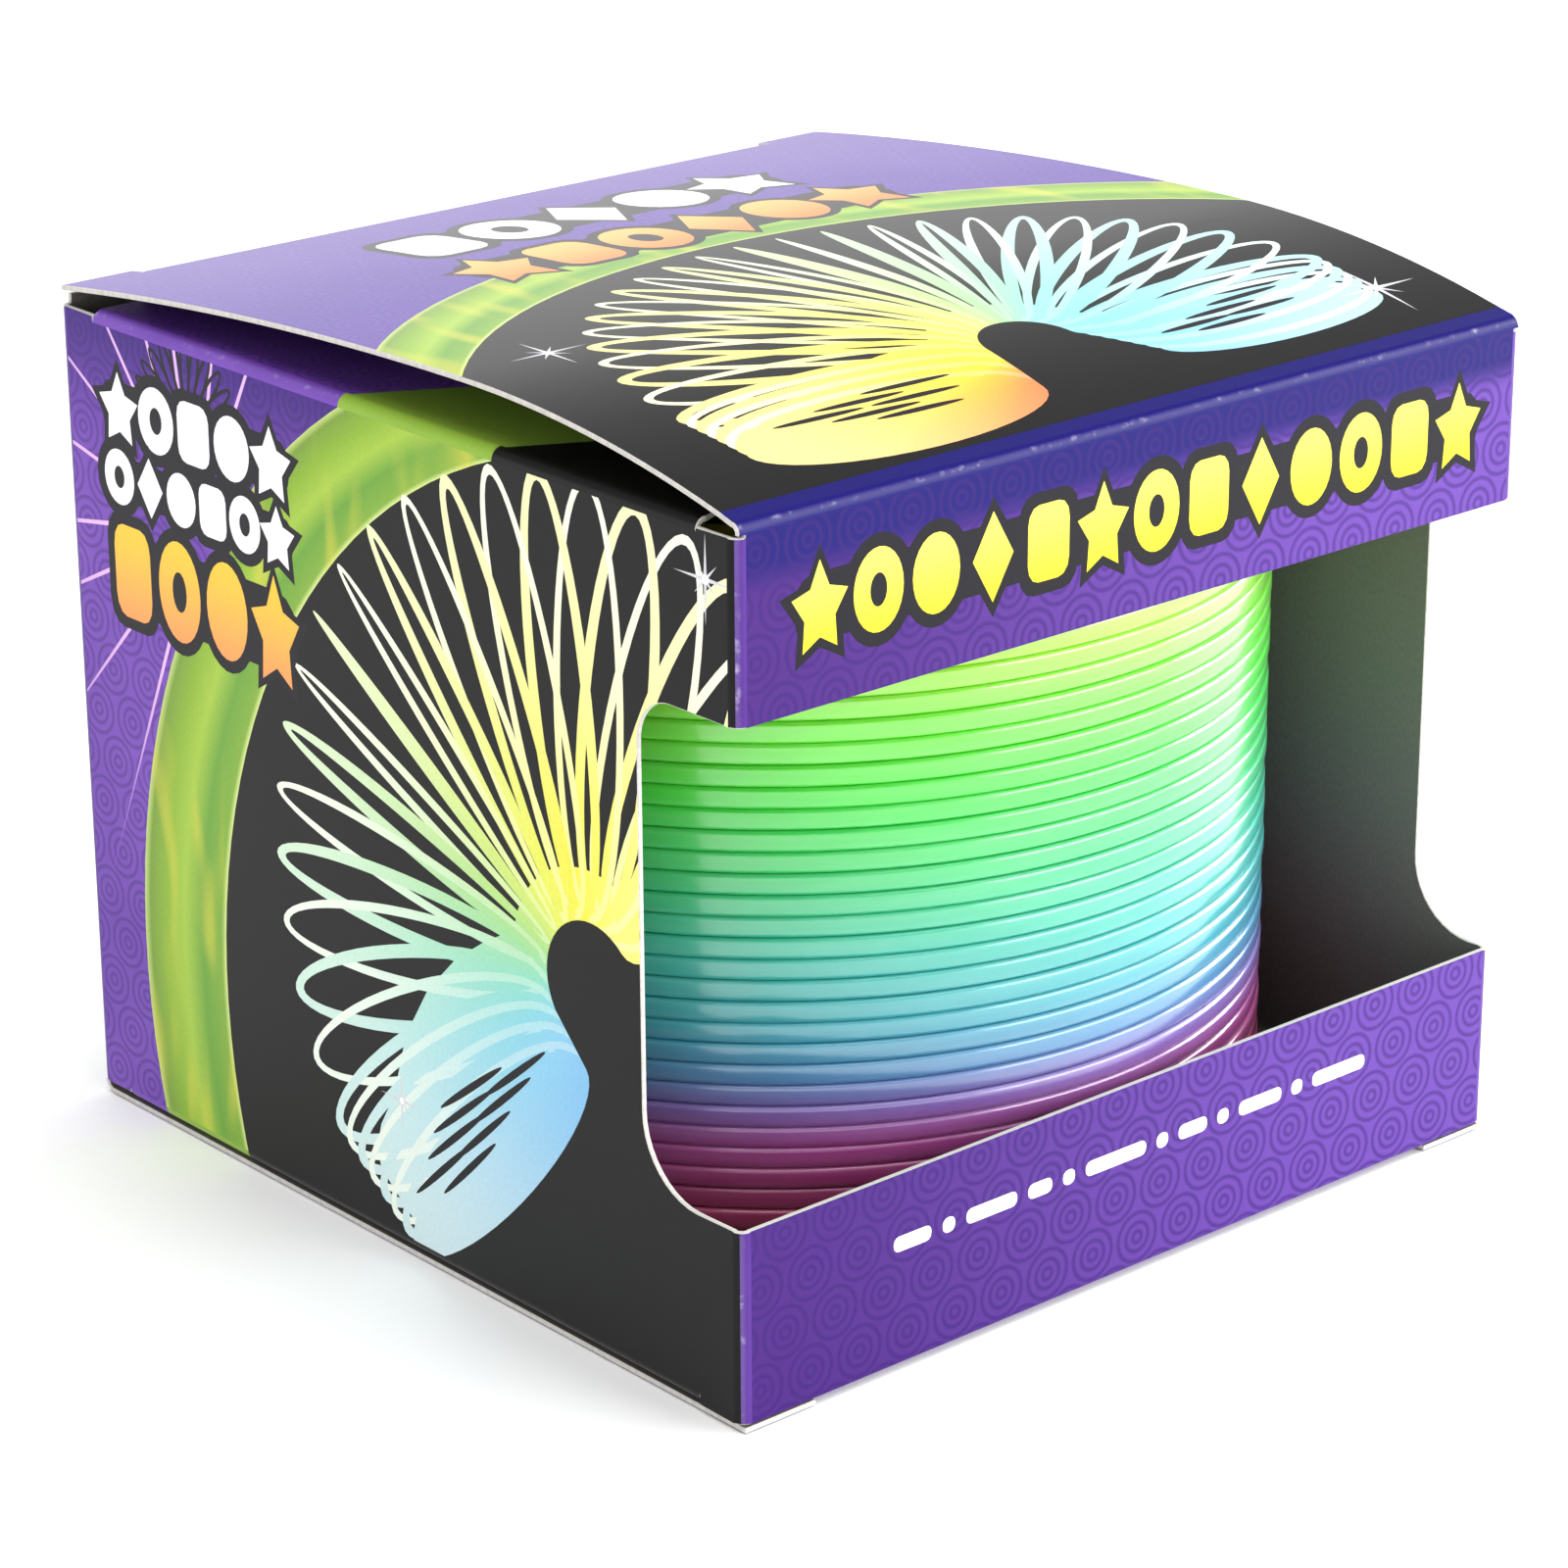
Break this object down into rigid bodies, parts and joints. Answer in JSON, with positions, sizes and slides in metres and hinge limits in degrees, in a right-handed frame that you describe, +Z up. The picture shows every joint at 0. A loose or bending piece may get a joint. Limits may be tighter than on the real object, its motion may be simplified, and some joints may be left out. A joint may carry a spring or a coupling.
{
  "type": "boxed spring coil toy",
  "caption": "Rainbow-coloured plastic spring coil standing in a printed window carton with tuck-in lid and bottom.",
  "frame": {"origin": "bottom centre of the carton, on the surface it stands on", "axes": "+Z up, -Y out through the window side of the carton, +X to the right seen from the window side"},
  "size_m": [0.077, 0.0786, 0.0697],
  "materials": {
    "printed_board": "printed board, semi-gloss coating outside, grey board inside",
    "coil_purple": "glossy translucent-looking plastic ribbon, crimson to violet",
    "coil_blue": "glossy plastic ribbon, blue to teal",
    "coil_green": "glossy plastic ribbon, green to yellow"
  },
  "bodies": {
    "carton_walls": {"back_panel": "printed_board", "left_panel": "printed_board", "right_panel": "printed_board", "front_header": "printed_board", "front_footer": "printed_board", "glue_flap": "printed_board", "front_left_crease": "printed_board", "front_right_crease": "printed_board", "back_left_crease": "printed_board", "back_right_crease": "printed_board"},
    "lid": {"lid_panel": "printed_board", "lid_crease": "printed_board"},
    "lid_tuck": {"lid_tuck_flap": "printed_board", "lid_tuck_crease": "printed_board"},
    "bottom": {"bottom_panel": "printed_board", "bottom_crease": "printed_board"},
    "bottom_tuck": {"bottom_tuck_flap": "printed_board", "bottom_tuck_crease": "printed_board"},
    "top_dust_left": {"top_dust_flap_left": "printed_board", "top_dust_crease_left": "printed_board"},
    "top_dust_right": {"top_dust_flap_right": "printed_board", "top_dust_crease_right": "printed_board"},
    "bottom_dust_left": {"bottom_dust_flap_left": "printed_board", "bottom_dust_crease_left": "printed_board"},
    "bottom_dust_right": {"bottom_dust_flap_right": "printed_board", "bottom_dust_crease_right": "printed_board"},
    "coil_base": {"coil_base_turns": "coil_purple"},
    "coil_middle": {"coil_middle_turns": "coil_blue", "coil_lower_transition": "coil_blue"},
    "coil_top": {"coil_top_turns": "coil_green", "coil_upper_transition": "coil_green"}
  },
  "joints": [
    {"name": "lid_hinge", "type": "hinge", "parent": "carton_walls", "child": "lid", "pos_m": [0, -0.03925, 0.066], "axis": [1, 0, 0], "range_deg": [0, 130], "deforming": ["lid_crease"]},
    {"name": "lid_tuck_hinge", "type": "hinge", "parent": "lid", "child": "lid_tuck", "pos_m": [0, 0.03865, 0.0667], "axis": [1, 0, 0], "range_deg": [0, 20], "deforming": ["lid_tuck_crease"]},
    {"name": "bottom_hinge", "type": "hinge", "parent": "carton_walls", "child": "bottom", "pos_m": [0, 0.03925, 0], "axis": [1, 0, 0], "range_deg": [0, 120], "deforming": ["bottom_crease"]},
    {"name": "bottom_tuck_hinge", "type": "hinge", "parent": "bottom", "child": "bottom_tuck", "pos_m": [0, -0.03865, 0], "axis": [1, 0, 0], "range_deg": [0, 20], "deforming": ["bottom_tuck_crease"]},
    {"name": "top_dust_left_hinge", "type": "hinge", "parent": "carton_walls", "child": "top_dust_left", "pos_m": [-0.0385, 0, 0.06545], "axis": [0, -1, 0], "range_deg": [0, 46], "deforming": ["top_dust_crease_left"]},
    {"name": "top_dust_right_hinge", "type": "hinge", "parent": "carton_walls", "child": "top_dust_right", "pos_m": [0.0385, 0, 0.06545], "axis": [0, 1, 0], "range_deg": [0, 46], "deforming": ["top_dust_crease_right"]},
    {"name": "bottom_dust_left_hinge", "type": "hinge", "parent": "carton_walls", "child": "bottom_dust_left", "pos_m": [-0.0385, 0, 0.0006], "axis": [0, 1, 0], "range_deg": [0, 42], "deforming": ["bottom_dust_crease_left"]},
    {"name": "bottom_dust_right_hinge", "type": "hinge", "parent": "carton_walls", "child": "bottom_dust_right", "pos_m": [0.0385, 0, 0.0006], "axis": [0, -1, 0], "range_deg": [0, 42], "deforming": ["bottom_dust_crease_right"]},
    {"name": "coil_turn", "type": "hinge", "parent": "carton_walls", "child": "coil_base", "pos_m": [0, 0, 0.0012], "axis": [0, 0, 1], "continuous": true},
    {"name": "coil_stretch", "type": "slide", "parent": "coil_base", "child": "coil_top", "axis": [0, 0, 1], "range_m": [0, 0.005], "stiffness_N_per_m": 1, "deforming": ["coil_upper_transition"]},
    {"name": "coil_middle_rise", "type": "slide", "parent": "coil_base", "child": "coil_middle", "axis": [0, 0, 1], "range_m": [0, 0.0025], "deforming": ["coil_lower_transition"]}
  ],
  "couplings": [
    {"joint": "lid_tuck_hinge", "follows": "lid_hinge", "ratio": 0.15},
    {"joint": "top_dust_left_hinge", "follows": "lid_hinge", "ratio": 0.35},
    {"joint": "top_dust_right_hinge", "follows": "lid_hinge", "ratio": 0.35},
    {"joint": "bottom_tuck_hinge", "follows": "bottom_hinge", "ratio": 0.15},
    {"joint": "bottom_dust_left_hinge", "follows": "bottom_hinge", "ratio": 0.35},
    {"joint": "bottom_dust_right_hinge", "follows": "bottom_hinge", "ratio": 0.35},
    {"joint": "coil_middle_rise", "follows": "coil_stretch", "ratio": 0.5}
  ]
}
